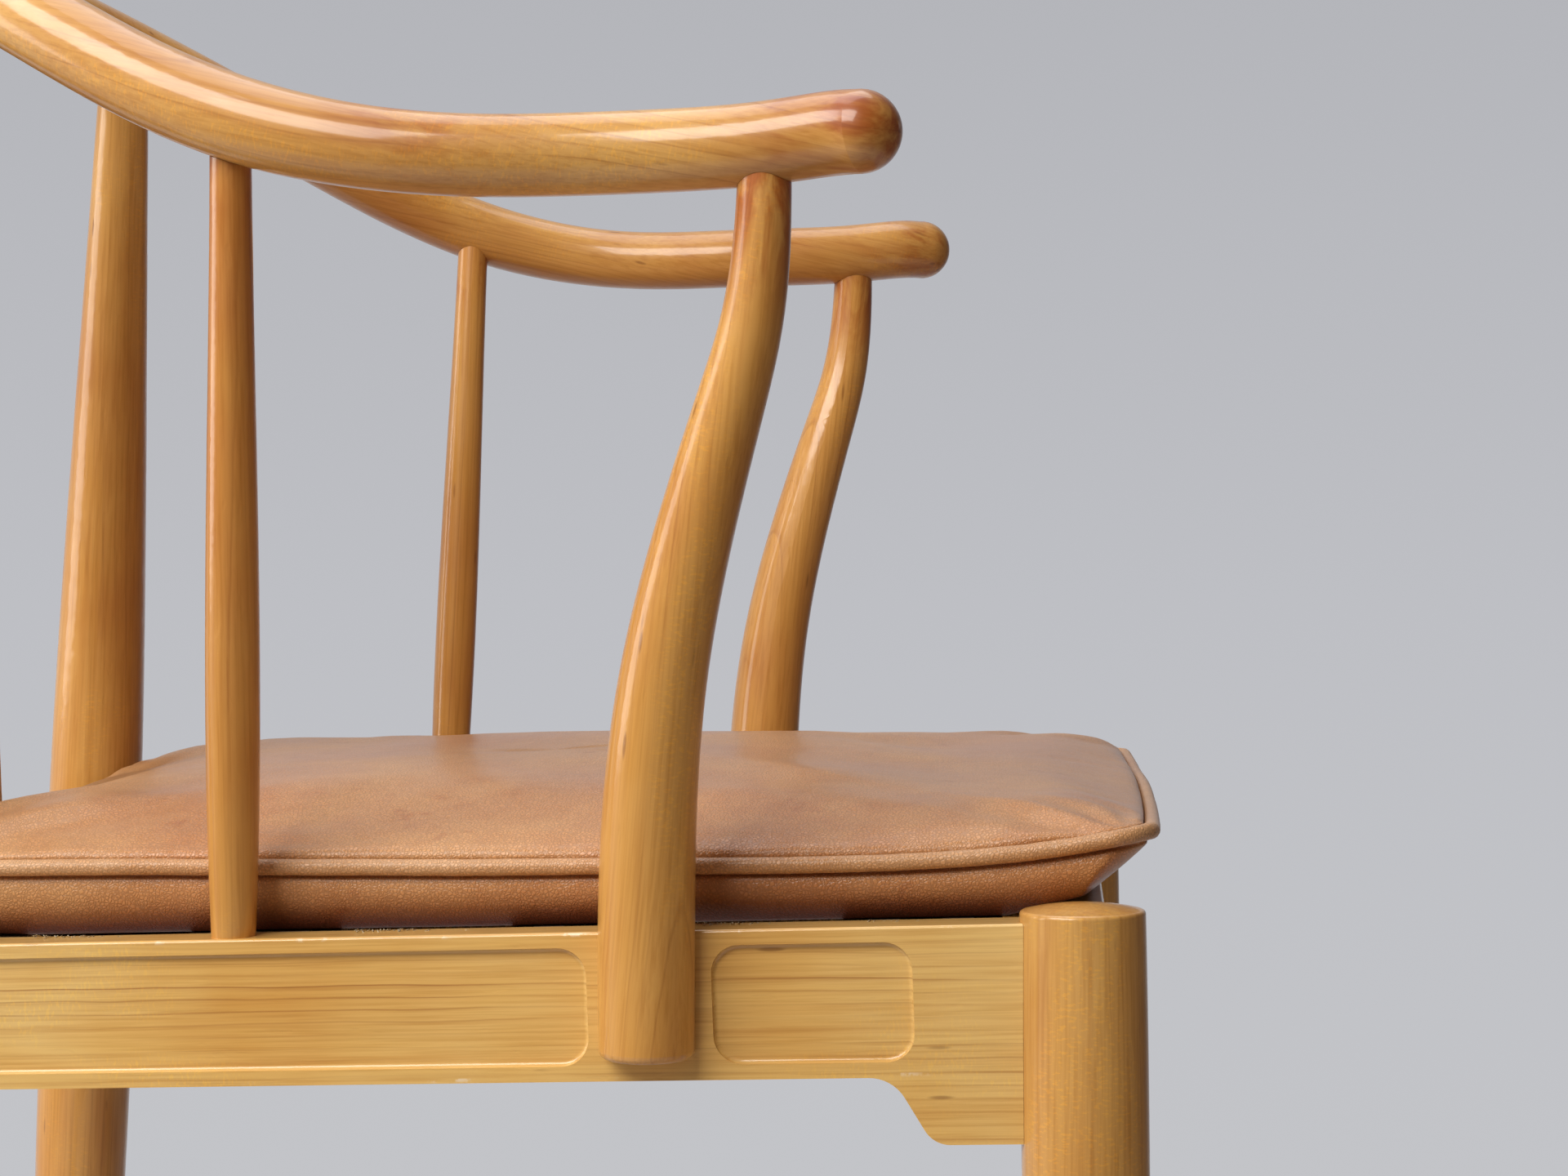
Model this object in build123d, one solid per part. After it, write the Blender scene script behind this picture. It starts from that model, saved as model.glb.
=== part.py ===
"""Horseshoe back armchair: a turned and sawn cherry frame with a loose leather cushion.

Millimetres. +Z is up, the chair faces -Y and the sitter's right hand is on -X.
The origin is on the floor, in the middle of the chair's plan.
Every piece is one STEP file in parts/, named for the piece.
"""
from build123d import *
import math
import os

# ---------------------------------------------------------------- legs, in plan
front_leg_seat_x = 219.0        # half spacing of the front leg axes, at seat_level
front_leg_seat_y = -246.6
front_leg_floor_x = 226.0       # the legs splay a little towards the floor
front_leg_floor_y = -253.1
rear_leg_floor_x = 226.0
rear_leg_floor_y = 253.3
seat_level = 425.0

# ---------------------------------------------------------------- the horseshoe rail
# Stations of the rail's centre line: half width, depth, height.
tip_at = Vector(257.0, -172.5, 687.0)
arm_post_at = Vector(247.0, -140.0, 684.5)
waist_at = Vector(241.5, -79.0, 682.0)
low_at = Vector(246.0, -19.0, 682.8)
spindle_at = Vector(237.5, 45.0, 696.5)
shoulder_at = Vector(208.5, 121.0, 734.0)
rear_post_at = Vector(160.0, 196.9, 775.7)
crest_at = Vector(0.0, 258.5, 804.0)
tip_radius = 14.0
arm_radius = 14.0
bend_radius = 14.8
crest_radius = 15.0
rail_sections = 33              # round sections that shape the rail along its length
finger_joint_x = 112.0          # half spacing of the joints between the crest and the arms
finger_length = 20.0
finger_pitch = 11.0
finger_count = 5
cope_gap = 0.1                  # between a coped shoulder and the round it sits on

# ---------------------------------------------------------------- legs and rear posts
front_leg_diameter = 43.2
front_leg_foot_diameter = 35.0
front_leg_full_level = 290.0    # full diameter from the top down to here
front_leg_rise = 5.6            # leg top above the seat rail
leg_dome = 2.6
leg_edge_round = 1.5
rear_post_top_diameter = 21.8
rear_post_upper_diameter = 32.3
rear_post_upper_level = 625.0
rear_post_seat_diameter = 43.4
rear_post_swell_level = 430.0   # full diameter from here down to the lower level
rear_post_lower_level = 245.0
rear_post_foot_diameter = 35.0
rear_tenon_diameter = 14.0
rear_tenon_length = 16.0
glide_diameter = 22.0
glide_height = 3.0
glide_pin_diameter = 4.0
glide_pin_length = 12.0

# ---------------------------------------------------------------- seat frame
seat_slope = 2.19               # degrees, falling to the rear
rail_top_front = 422.0          # top of the seat rails over the front legs' axes
rail_height = 52.0
rail_thickness = 24.0
rail_proud = 8.8                # outer face outboard of the legs' axes
rear_rail_proud = 14.5
rail_arris = 1.2
bracket_drop = 23.4
bracket_reach = 52.5            # from the leg's axis to the foot of the bracket's slope
bracket_run = 13.4
bracket_top_round = 14.0
bracket_foot_round = 10.0
recess_margin = 5.3
recess_corner = 10.0
recess_depth = 2.2
recess_cove = 1.8
recess_reach = 57.6             # from the leg's axis to the near end of a recess
arm_post_land = 43.9            # plain face between two recesses, behind the arm post
rabbet_width = 6.5
tenon_thickness = 9.0
tenon_height = 16.0
tenon_inset = 7.0               # from the rail's long edge to its tenon
tenon_end_gap = 4.0             # from the tenon's end to the leg's axis
tenon_root = 26.0               # from the leg's axis to the end of the tenon's root

# ---------------------------------------------------------------- stretchers
stretcher_height = 26.0
stretcher_thickness = 16.0
stretcher_round = 5.0
front_stretcher_level = 78.0    # the stretchers step up from the front to the rear
side_stretcher_level = 116.0
rear_stretcher_level = 154.0

# ---------------------------------------------------------------- spindles
spindle_foot_y = 53.3
spindle_foot_inset = 9.0        # from the rail's outer face to the spindle's axis
spindle_top_inboard = 4.0       # the spindle enters the arm a little inboard of its middle
spindle_foot_diameter = 15.6
spindle_belly_diameter = 18.7
spindle_neck_diameter = 15.3
spindle_top_diameter = 14.2
spindle_belly_level = 535.0
spindle_neck_level = 640.0
spindle_bed = 1.5               # length of the foot that is trimmed to sit on the rail
spindle_tenon_diameter = 10.0
spindle_tenon_length = 20.0

# ---------------------------------------------------------------- arm posts
arm_post_foot_z = 373.0
arm_post_foot_y = -97.0
arm_post_proud = 4.0            # the post's axis outboard of the rail's outer face
arm_post_knee = Vector(227.3, -98.2, 452.0)
arm_post_shin = Vector(234.0, -105.8, 515.0)
arm_post_bend = Vector(242.0, -128.8, 601.0)
arm_post_foot_diameter = 33.0
arm_post_knee_diameter = 32.9
arm_post_shin_diameter = 29.6
arm_post_bend_diameter = 23.4
arm_post_top_diameter = 17.8
arm_post_foot_round = 3.0
arm_tenon_diameter = 12.0
arm_tenon_length = 16.0
screw_diameter = 5.0
screw_head_diameter = 10.0
screw_head_height = 3.0
screw_length = 36.0
screw_spacing = 24.0
screw_clearance = 0.1

# ---------------------------------------------------------------- back splat
# Stations of the splat from its foot up: depth, height; width; bow of the section.
splat_thickness = 10.0
splat_foot_y = 229.0
splat_foot_width = 124.0
splat_foot_bow = 1.0
splat_lumbar_at = (232.5, 462.0)
splat_lumbar_width = 124.0
splat_lumbar_bow = 1.5
splat_middle_at = (242.0, 590.0)
splat_middle_width = 133.0
splat_middle_bow = 6.0
splat_upper_at = (255.0, 715.0)
splat_upper_width = 146.0
splat_upper_bow = 12.0
splat_top_width = 156.0
splat_top_bow = 16.0
splat_edge_round = 2.5
round_share = 0.33              # a rounded edge takes at most this share of the thickness
splat_tongue_depth = 9.0
splat_tongue_thickness = 6.0
splat_tongue_inset = 6.0

# ---------------------------------------------------------------- webbing
strap_width = 56.0
strap_thickness = 2.0
strap_layer_gap = 0.3
webbing_drop = 1.5              # top of the webbing below the top of the seat rails
strap_end_gap = 0.5             # between a strap's end and the rabbet's wall
cross_strap_pitch = 119.0
cross_strap_count = 4
rear_cross_strap_y = 166.0
long_strap_pitch = 90.0
long_strap_count = 4
staple_crown = 11.0
staple_wire = 1.2
staple_leg = 6.0
staple_spacing = 26.0

# ---------------------------------------------------------------- cushion
cushion_front_y = -271.0
cushion_rear_y = 206.0
cushion_side_inset = 19.6       # from the side rails' outer faces to the cushion's edge
cushion_front_corner = 30.0
cushion_rear_corner = 48.0
cushion_foot_corner = 62.0      # the underside clears the domed tops of the front legs
cushion_lift = 0.3              # gap between the cushion and the seat rails
cushion_foot_inset = 15.0
cushion_boxing_inset = 5.0
cushion_boxing_rise = 10.0
cushion_seam_rise = 22.0        # piping above the underside
cushion_crown_rise = 22.5       # crown above the piping
cushion_crown_inset = 29.0      # from the piping to the flat of the crown
cushion_crown_steps = 6
cushion_wall = 4.6              # leather with its wadding
cushion_core_gap = 0.3
piping_diameter = 6.0
piping_gap = 0.3

# ---------------------------------------------------------------- for the cuts
overcut = 1.0                   # how far a cutting block reaches past the face it opens
pick_margin = 1.0               # how near a corner or edge lies to the line it is picked by
share_tolerance = 1e-7          # how closely a place on the rail's centre line is found

# ================================================================ helpers


def mirrored(shape):
    """The same piece on the sitter's left."""
    return mirror(shape, about=Plane.YZ)


def on_line(start, end, height):
    """The point at a given height on the line through two points."""
    share = (height - start.Z) / (end.Z - start.Z)
    return start + (end - start) * share


def turned(foot, top, stations, extra=0.0):
    """A lathe-turned piece on the axis from foot to top.

    stations holds (height above the foot, diameter) pairs joined by a smooth curve.
    extra grows the radius, for the hollow that is cut where another piece meets it.
    """
    length = (top - foot).length
    stretch = length / (top.Z - foot.Z)
    points = [(diameter / 2 + extra, height * stretch) for height, diameter in stations]
    outline = Spline(*points)
    low_centre = (0, points[0][1])
    high_centre = (0, points[-1][1])
    low_edge = Line(low_centre, outline @ 0)
    high_edge = Line(outline @ 1, high_centre)
    axis_edge = Line(high_centre, low_centre)
    profile = Plane.XZ * make_face([low_edge, outline, high_edge, axis_edge])
    solid = revolve(profile, axis=Axis.Z)
    return Plane(origin=foot, z_dir=top - foot) * solid


def peg(start, end, diameter):
    """A round tenon, pin or hole from start to end."""
    length = (end - start).length
    blank = Cylinder(diameter / 2, length, align=(Align.CENTER, Align.CENTER, Align.MIN))
    return Plane(origin=start, z_dir=end - start) * blank


def block(low, high):
    """A box between two corners."""
    size = [b - a for a, b in zip(low, high)]
    return Pos(*low) * Box(*size, align=(Align.MIN, Align.MIN, Align.MIN))


# ================================================================ axes and the seat plane
# The right-hand side is built and then mirrored.

slope_fall = math.tan(math.radians(seat_slope))
front_floor = Vector(-front_leg_floor_x, front_leg_floor_y, 0)
front_seat = Vector(-front_leg_seat_x, front_leg_seat_y, seat_level)
rear_floor = Vector(-rear_leg_floor_x, rear_leg_floor_y, 0)
rear_top = Vector(-rear_post_at.X, rear_post_at.Y, rear_post_at.Z)

# The seat plane: its X runs to the sitter's left, its Y to the rear down the slope.
seat = Plane(
    origin=(0, front_leg_seat_y, rail_top_front),
    x_dir=(1, 0, 0),
    z_dir=(0, math.sin(math.radians(seat_slope)), math.cos(math.radians(seat_slope))),
)


def seat_top(depth):
    """Height of the seat rails' top at a given depth."""
    return rail_top_front - (depth - front_leg_seat_y) * slope_fall


def on_seat(point):
    """A point in the seat plane's own coordinates."""
    return seat.to_local_coords(point)


rail_middle = rail_height / 2
front_rail_middle_z = seat_top(front_leg_seat_y) - rail_middle
rear_rail_middle_z = seat_top(rear_post_at.Y) - rail_middle
front_axis = on_seat(on_line(front_floor, front_seat, front_rail_middle_z))
rear_axis = on_seat(on_line(rear_floor, rear_top, rear_rail_middle_z))

# ================================================================ legs and rear posts

front_top = on_line(front_floor, front_seat, rail_top_front + front_leg_rise)


def front_leg_blank(extra=0.0):
    """A front leg before its joints are cut, its foot still running to the floor."""
    stations = [
        (0, front_leg_foot_diameter),
        (front_leg_full_level / 2, (front_leg_foot_diameter + front_leg_diameter) / 2),
        (front_leg_full_level, front_leg_diameter),
        (front_top.Z, front_leg_diameter),
    ]
    return turned(front_floor, front_top, stations, extra)


def domed(leg):
    """Turn the top of a front leg to a low dome with a rounded edge."""
    rim = front_leg_diameter / 2
    dome_radius = (rim**2 + leg_dome**2) / (2 * leg_dome)
    up = (front_top - front_floor).normalized()
    waste = peg(front_top - up * 2 * leg_dome, front_top + up * leg_dome, 4 * rim)
    waste = waste - Pos(front_top - up * dome_radius) * Sphere(dome_radius)
    leg = leg - waste
    rims = leg.edges().filter_by(lambda e: e.length > 4 * rim)
    return fillet(rims.sort_by(Axis.Z)[-1], leg_edge_round)


def rear_post_blank(extra=0.0):
    """A rear post before its joints are cut, reaching to the horseshoe's centre line."""
    stations = [
        (0, rear_post_foot_diameter),
        (rear_post_lower_level, rear_post_seat_diameter),
        (rear_post_swell_level, rear_post_seat_diameter),
        (rear_post_upper_level, rear_post_upper_diameter),
        (rear_top.Z, rear_post_top_diameter),
    ]
    return turned(rear_floor, rear_top, stations, extra)


def glide_parts(foot, axis_top):
    """A foot glide: a disc on the floor with a pin up into the leg."""
    centre = on_line(foot, axis_top, 0)
    rest = on_line(foot, axis_top, glide_height)
    disc = peg(centre, Vector(centre.X, centre.Y, glide_height), glide_diameter)
    pin_top = Vector(rest.X, rest.Y, glide_height + glide_pin_length)
    return disc + peg(Vector(rest.X, rest.Y, glide_height), pin_top, glide_pin_diameter)


def foot_trim(foot):
    """What is sawn off a leg so that it stands flat on its glide."""
    reach = front_leg_diameter
    low = (foot.X - reach, foot.Y - reach, -reach)
    high = (foot.X + reach, foot.Y + reach, glide_height)
    return block(low, high)


# ================================================================ seat rails


def rail_plane(start, end, proud, inward):
    """The plane on a rail's outer face: X along the rail, Y up, Z into the wood."""
    outer_start = start - inward * proud
    return Plane(origin=outer_start, x_dir=end - start, z_dir=inward)


def rail_board(length, plane):
    """A seat rail's board with a bracket at each end, from leg axis to leg axis."""
    low = -rail_height - bracket_drop
    slope_top = bracket_reach + bracket_run
    points = [
        (0, 0),
        (length, 0),
        (length, low),
        (length - bracket_reach, low),
        (length - slope_top, -rail_height),
        (slope_top, -rail_height),
        (bracket_reach, low),
        (0, low),
    ]
    face = make_face(Polyline(*points, close=True))
    inner = face.vertices().filter_by(lambda v: pick_margin < v.X < length - pick_margin)
    face = fillet(inner.filter_by(lambda v: v.Y > low + pick_margin), bracket_top_round)
    reach = bracket_reach - pick_margin
    inner = face.vertices().filter_by(lambda v: reach < v.X < length - reach)
    face = fillet(inner.filter_by(lambda v: v.Y < low + pick_margin), bracket_foot_round)
    board = extrude(face, amount=rail_thickness)
    top_edges = board.edges().filter_by(Axis.X).filter_by(lambda e: e.center().Y > -pick_margin)
    board = fillet(top_edges.sort_by(Axis.Z)[0], rail_arris)
    return plane * board


def recess(start, end, plane):
    """The sunk field on a rail's outer face, with a coved edge all round."""
    width = end - start
    height = rail_height - 2 * recess_margin
    field = RectangleRounded(width, height, recess_corner)
    tool = extrude(field, amount=recess_depth)
    tool = fillet(tool.faces().sort_by(Axis.Z)[-1].edges(), recess_cove)
    return plane * (Pos((start + end) / 2, -rail_height / 2, 0) * tool)


def rabbet(length, depth, plane):
    """The step along a rail's inner top edge, where the webbing is stapled down."""
    low = (0, -depth, rail_thickness - rabbet_width)
    high = (length, overcut, rail_thickness + overcut)
    return plane * block(low, high)


def rail_tenons(length, plane, low_on_rail):
    """The two end tenons of a rail, which are also their mortises."""
    top = -rail_height + tenon_inset + tenon_height if low_on_rail else -tenon_inset
    middle = rail_thickness / 2
    near = (tenon_end_gap, top - tenon_height, middle - tenon_thickness / 2)
    far = (tenon_root, top, middle + tenon_thickness / 2)
    near_block = block(near, far)
    far_block = Pos(length, 0, 0) * mirror(near_block, about=Plane.YZ)
    return [plane * near_block, plane * far_block]


side_length = (rear_axis - front_axis).length
side_along = Vector(rear_axis.X - front_axis.X, rear_axis.Y - front_axis.Y, 0).normalized()
side_inward = Vector(side_along.Y, -side_along.X, 0)
front_flat = Vector(front_axis.X, front_axis.Y, 0)
rear_flat = Vector(rear_axis.X, rear_axis.Y, 0)
side_plane = rail_plane(front_flat, rear_flat, rail_proud, side_inward)
front_plane = rail_plane(
    Vector(-front_flat.X, front_flat.Y, 0), front_flat, rail_proud, Vector(0, 1, 0)
)
rear_plane = rail_plane(
    rear_flat, Vector(-rear_flat.X, rear_flat.Y, 0), rear_rail_proud, Vector(0, -1, 0)
)
front_length = -2 * front_flat.X
rear_length = -2 * rear_flat.X


def along_side_rail(depth):
    """Distance along the side rail, from the front leg's axis, of a given depth."""
    v = on_seat(Vector(0, depth, seat_top(depth))).Y
    return (v - front_flat.Y) / side_along.Y


def side_rail_outer(depth, outboard=0.0):
    """A point of the seat plane on the side rail's outer face, at a given depth."""
    along = along_side_rail(depth)
    local = side_plane.from_local_coords(Vector(along, 0, -outboard))
    return seat.from_local_coords(Vector(local.X, local.Y, 0))


land_middle = along_side_rail(arm_post_foot_y)
side_board = seat * rail_board(side_length, side_plane)
side_recesses = [
    (recess_reach, land_middle - arm_post_land / 2),
    (land_middle + arm_post_land / 2, side_length - recess_reach),
]
side_tenons = [seat * t for t in rail_tenons(side_length, side_plane, False)]
front_tenons = [seat * t for t in rail_tenons(front_length, front_plane, True)]
rear_tenons = [seat * t for t in rail_tenons(rear_length, rear_plane, True)]
cross_strap_top = -webbing_drop
long_strap_top = cross_strap_top - strap_thickness - strap_layer_gap
cross_rabbet_depth = strap_thickness - cross_strap_top
long_rabbet_depth = strap_thickness - long_strap_top

# ================================================================ stretchers


def stretcher(start, end):
    """A stretcher's bar between two leg axes, and its two end tenons."""
    length = (end - start).length
    plane = Plane(origin=start, x_dir=end - start, z_dir=(0, 0, 1))
    half_t = stretcher_thickness / 2
    half_h = stretcher_height / 2
    bar = block((0, -half_t, -half_h), (length, half_t, half_h))
    bar = fillet(bar.edges().filter_by(Axis.X), stretcher_round)
    half_tenon = tenon_thickness / 2
    near = (tenon_end_gap, -half_tenon, -tenon_height / 2)
    far = (tenon_root, half_tenon, tenon_height / 2)
    near_block = block(near, far)
    far_block = Pos(length, 0, 0) * mirror(near_block, about=Plane.YZ)
    return plane * bar, [plane * near_block, plane * far_block]


def leg_pair(point):
    """A right-hand point and its mirror image on the left."""
    return point, Vector(-point.X, point.Y, point.Z)


front_low, front_low_left = leg_pair(on_line(front_floor, front_seat, front_stretcher_level))
rear_low, rear_low_left = leg_pair(on_line(rear_floor, rear_top, rear_stretcher_level))
side_low_front = on_line(front_floor, front_seat, side_stretcher_level)
side_low_rear = on_line(rear_floor, rear_top, side_stretcher_level)
front_bar, front_bar_tenons = stretcher(front_low, front_low_left)
rear_bar, rear_bar_tenons = stretcher(rear_low, rear_low_left)
side_bar, side_bar_tenons = stretcher(side_low_front, side_low_rear)

# ================================================================ the horseshoe


def horseshoe_stations():
    """Centre-line points and radii from the right tip round the crest to the left tip."""
    right = [
        (tip_at, tip_radius),
        (arm_post_at, arm_radius),
        (waist_at, arm_radius),
        (low_at, arm_radius),
        (spindle_at, bend_radius),
        (shoulder_at, bend_radius),
        (rear_post_at, bend_radius),
    ]
    stations = [(Vector(-p.X, p.Y, p.Z), radius) for p, radius in right]
    stations.append((crest_at, crest_radius))
    stations += list(reversed(right))
    return stations


horseshoe_line = Spline(*[point for point, _ in horseshoe_stations()])


def rail_radius(share):
    """The rail's radius at a share of its length, evenly tapered between stations."""
    stations = [(horseshoe_line.param_at_point(p), radius) for p, radius in horseshoe_stations()]
    for (start, start_radius), (end, end_radius) in zip(stations, stations[1:]):
        if share <= end:
            return start_radius + (end_radius - start_radius) * (share - start) / (end - start)
    return tip_radius


def horseshoe(extra=0.0):
    """The whole rail as one solid, its radius grown by extra."""
    sections = []
    for index in range(rail_sections):
        share = index / (rail_sections - 1)
        across = Plane(origin=horseshoe_line @ share, x_dir=(0, 0, 1), z_dir=horseshoe_line % share)
        sections.append(across * Circle(rail_radius(share) + extra))
    rail = loft(sections)
    foot = (Align.CENTER, Align.CENTER, Align.MIN)
    for share, outward in ((0, -1), (1, 1)):
        way = (horseshoe_line % share) * outward
        tip = Sphere(tip_radius + extra, arc_size1=0, arc_size2=90, align=foot)
        rail = rail + Plane(origin=horseshoe_line @ share, x_dir=(0, 0, 1), z_dir=way) * tip
    return rail


def share_at_x(target_x):
    """The centre line's share at a given x, sought from the spindle to the crest's middle."""
    low = horseshoe_line.param_at_point(Vector(-spindle_at.X, spindle_at.Y, spindle_at.Z))
    high = horseshoe_line.param_at_point(crest_at)
    while high - low > share_tolerance:
        middle = (low + high) / 2
        if (horseshoe_line @ middle).X < target_x:
            low = middle
        else:
            high = middle
    return low


def crest_side():
    """All that lies on the crest's side of the right-hand finger joint."""
    share = share_at_x(-finger_joint_x)
    along = horseshoe_line % share
    across = Vector(along.Y, -along.X, 0).normalized()
    plane = Plane(origin=horseshoe_line @ share, x_dir=across, z_dir=(0, 0, 1))
    half_width = finger_count * finger_pitch / 2
    points = []
    for step in range(2 * finger_count + 1):
        reach = finger_length / 2 if step % 2 else -finger_length / 2
        points.append((-half_width + step * finger_pitch / 2, reach))
    wide = 2 * tip_at.X
    points += [(wide, -finger_length / 2), (wide, wide), (-wide, wide), (-wide, -finger_length / 2)]
    outline = make_face(Polyline(*points, close=True))
    return plane * extrude(outline, amount=wide, both=True)


rail_cope = horseshoe(cope_gap)
crest_zone = crest_side()
crest_zone = crest_zone & mirrored(crest_zone)
rail_whole = horseshoe()
crest = rail_whole & crest_zone
arms = (rail_whole - crest_zone).solids().sort_by(Axis.X)
arm = arms[0]

# ================================================================ spindles and arm posts

spindle_foot = side_rail_outer(spindle_foot_y, -spindle_foot_inset)
spindle_top = Vector(-spindle_at.X + spindle_top_inboard, spindle_at.Y, spindle_at.Z)
spindle_stations = [
    (-spindle_bed, spindle_foot_diameter),
    (spindle_belly_level - spindle_foot.Z, spindle_belly_diameter),
    (spindle_neck_level - spindle_foot.Z, spindle_neck_diameter),
    (spindle_top.Z - spindle_foot.Z, spindle_top_diameter),
]
spindle_way = (spindle_top - spindle_foot).normalized()
spindle_low = spindle_foot - spindle_way * spindle_tenon_length
spindle_tenons = peg(spindle_low, spindle_top, spindle_tenon_diameter)

arm_post_foot_face = side_rail_outer(arm_post_foot_y, arm_post_proud)
arm_post_foot = Vector(arm_post_foot_face.X, arm_post_foot_y, arm_post_foot_z)
arm_post_top = Vector(-arm_post_at.X, arm_post_at.Y, arm_post_at.Z)


def arm_post_blank():
    """The arm post's S-curve, round all the way, up to the arm's centre line."""
    bends = [
        (arm_post_foot, arm_post_foot_diameter),
        (Vector(-arm_post_knee.X, arm_post_knee.Y, arm_post_knee.Z), arm_post_knee_diameter),
        (Vector(-arm_post_shin.X, arm_post_shin.Y, arm_post_shin.Z), arm_post_shin_diameter),
        (Vector(-arm_post_bend.X, arm_post_bend.Y, arm_post_bend.Z), arm_post_bend_diameter),
        (arm_post_top, arm_post_top_diameter),
    ]
    line = Spline(*[point for point, _ in bends], tangents=[(0, 0, 1), (0, 0, 1)])
    sections = []
    for point, diameter in bends:
        share = line.param_at_point(point)
        plane = Plane(origin=point, z_dir=line % share)
        sections.append(plane * Circle(diameter / 2))
    post = sweep(sections=sections, path=line, multisection=True)
    return fillet(post.edges().sort_by(Axis.Z)[0], arm_post_foot_round)


arm_tenon = peg(arm_post_top - Vector(0, 0, arm_tenon_length), arm_post_top, arm_tenon_diameter)


def post_screws(extra=0.0):
    """The screws through a side rail into its arm post, grown by extra."""
    screws = []
    depth = rail_thickness
    for side in (-1, 1):
        height = -rail_height / 2 + side * screw_spacing / 2
        head = side_plane.from_local_coords(Vector(land_middle, height, depth))
        inner = side_plane.from_local_coords(Vector(land_middle, height, depth - screw_head_height))
        tip = side_plane.from_local_coords(Vector(land_middle, height, depth - screw_length))
        screw = peg(head, inner, screw_head_diameter + 2 * extra)
        screw = screw + peg(head, tip, screw_diameter + 2 * extra)
        screws.append(seat * screw)
    return screws


# ================================================================ back splat

splat_foot_z = seat_top(splat_foot_y)


def splat_section(at, width, bow, thickness):
    """One level section of the splat: a strip bowed round the sitter's back."""
    depth, height = at
    half = width / 2
    front = -thickness / 2
    back = thickness / 2
    front_arc = ThreePointArc((-half, front - bow), (0, front), (half, front - bow))
    back_arc = ThreePointArc((half, back - bow), (0, back), (-half, back - bow))
    left = Line(front_arc @ 1, back_arc @ 0)
    right = Line(back_arc @ 1, front_arc @ 0)
    face = make_face([front_arc, left, back_arc, right])
    face = fillet(face.vertices(), min(splat_edge_round, thickness * round_share))
    return Pos(0, depth, height) * face


def splat_blank(thickness, inset, foot_z):
    """The splat from foot_z up to the crest's centre line, narrowed by inset each side."""
    stations = [
        ((splat_foot_y, foot_z), splat_foot_width, splat_foot_bow),
        (splat_lumbar_at, splat_lumbar_width, splat_lumbar_bow),
        (splat_middle_at, splat_middle_width, splat_middle_bow),
        (splat_upper_at, splat_upper_width, splat_upper_bow),
        ((crest_at.Y, crest_at.Z), splat_top_width, splat_top_bow),
    ]
    sections = []
    for at, width, bow in stations:
        sections.append(splat_section(at, width - 2 * inset, bow, thickness))
    return loft(sections)


# ================================================================ webbing


def strap(corners, top):
    """A flat strap with the given corners in the seat plane, its top face at top."""
    face = make_face(Polyline(*corners, close=True))
    return seat * (Pos(0, 0, top) * extrude(face, amount=-strap_thickness))


def inner_edge_x(v):
    """Half width of the strap's seat on the side rails, at a distance v down the seat."""
    along = (v - front_flat.Y) / side_along.Y
    wall = rail_thickness - rabbet_width + strap_end_gap
    return -side_plane.from_local_coords(Vector(along, 0, wall)).X


front_strap_end = front_plane.from_local_coords(
    Vector(0, 0, rail_thickness - rabbet_width + strap_end_gap)
).Y
rear_strap_end = rear_plane.from_local_coords(
    Vector(0, 0, rail_thickness - rabbet_width + strap_end_gap)
).Y
staple_row = (rabbet_width - strap_end_gap) / 2
half_strap = strap_width / 2


def cross_strap_rows():
    """Distances down the seat of the straps that run from side to side."""
    rear = on_seat(Vector(0, rear_cross_strap_y, seat_top(rear_cross_strap_y))).Y
    return [rear - index * cross_strap_pitch for index in range(cross_strap_count)]


def long_strap_columns():
    """Positions across the seat of the straps that run from front to rear."""
    first = -(long_strap_count - 1) / 2
    return [(first + index) * long_strap_pitch for index in range(long_strap_count)]


def cross_straps():
    """The side-to-side straps, on top."""
    straps = []
    for v in cross_strap_rows():
        near = inner_edge_x(v - half_strap)
        far = inner_edge_x(v + half_strap)
        corners = [
            (-near, v - half_strap),
            (near, v - half_strap),
            (far, v + half_strap),
            (-far, v + half_strap),
        ]
        straps.append(strap(corners, cross_strap_top))
    return straps


def long_straps():
    """The front-to-rear straps, under the others."""
    straps = []
    for u in long_strap_columns():
        corners = [
            (u - half_strap, front_strap_end),
            (u + half_strap, front_strap_end),
            (u + half_strap, rear_strap_end),
            (u - half_strap, rear_strap_end),
        ]
        straps.append(strap(corners, long_strap_top))
    return straps


def staple(u, v, top, turn):
    """A wire staple: a crown on the strap and two legs down into the rail."""
    half = staple_crown / 2
    wire = staple_wire / 2
    crown = block((-half, -wire, 0), (half, wire, staple_wire))
    left_leg = block((-half, -wire, -staple_leg), (-half + staple_wire, wire, 0))
    right_leg = block((half - staple_wire, -wire, -staple_leg), (half, wire, 0))
    return seat * (Pos(u, v, top) * Rot(0, 0, turn) * (crown + left_leg + right_leg))


def staple_rows():
    """Two staples across each end of each strap: on the side, front and rear rails."""
    side_rows = []
    front_rows = []
    rear_rows = []
    side_turn = math.degrees(math.atan2(side_along.Y, side_along.X))
    for offset in (-staple_spacing / 2, staple_spacing / 2):
        for v in cross_strap_rows():
            reach = inner_edge_x(v + offset) - staple_row
            side_rows.append(staple(-reach, v + offset, cross_strap_top, side_turn))
            side_rows.append(staple(reach, v + offset, cross_strap_top, -side_turn))
        for u in long_strap_columns():
            across = u + offset
            front_rows.append(staple(across, front_strap_end + staple_row, long_strap_top, 0))
            rear_rows.append(staple(across, rear_strap_end - staple_row, long_strap_top, 0))
    return side_rows, front_rows, rear_rows


# ================================================================ cushion


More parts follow.
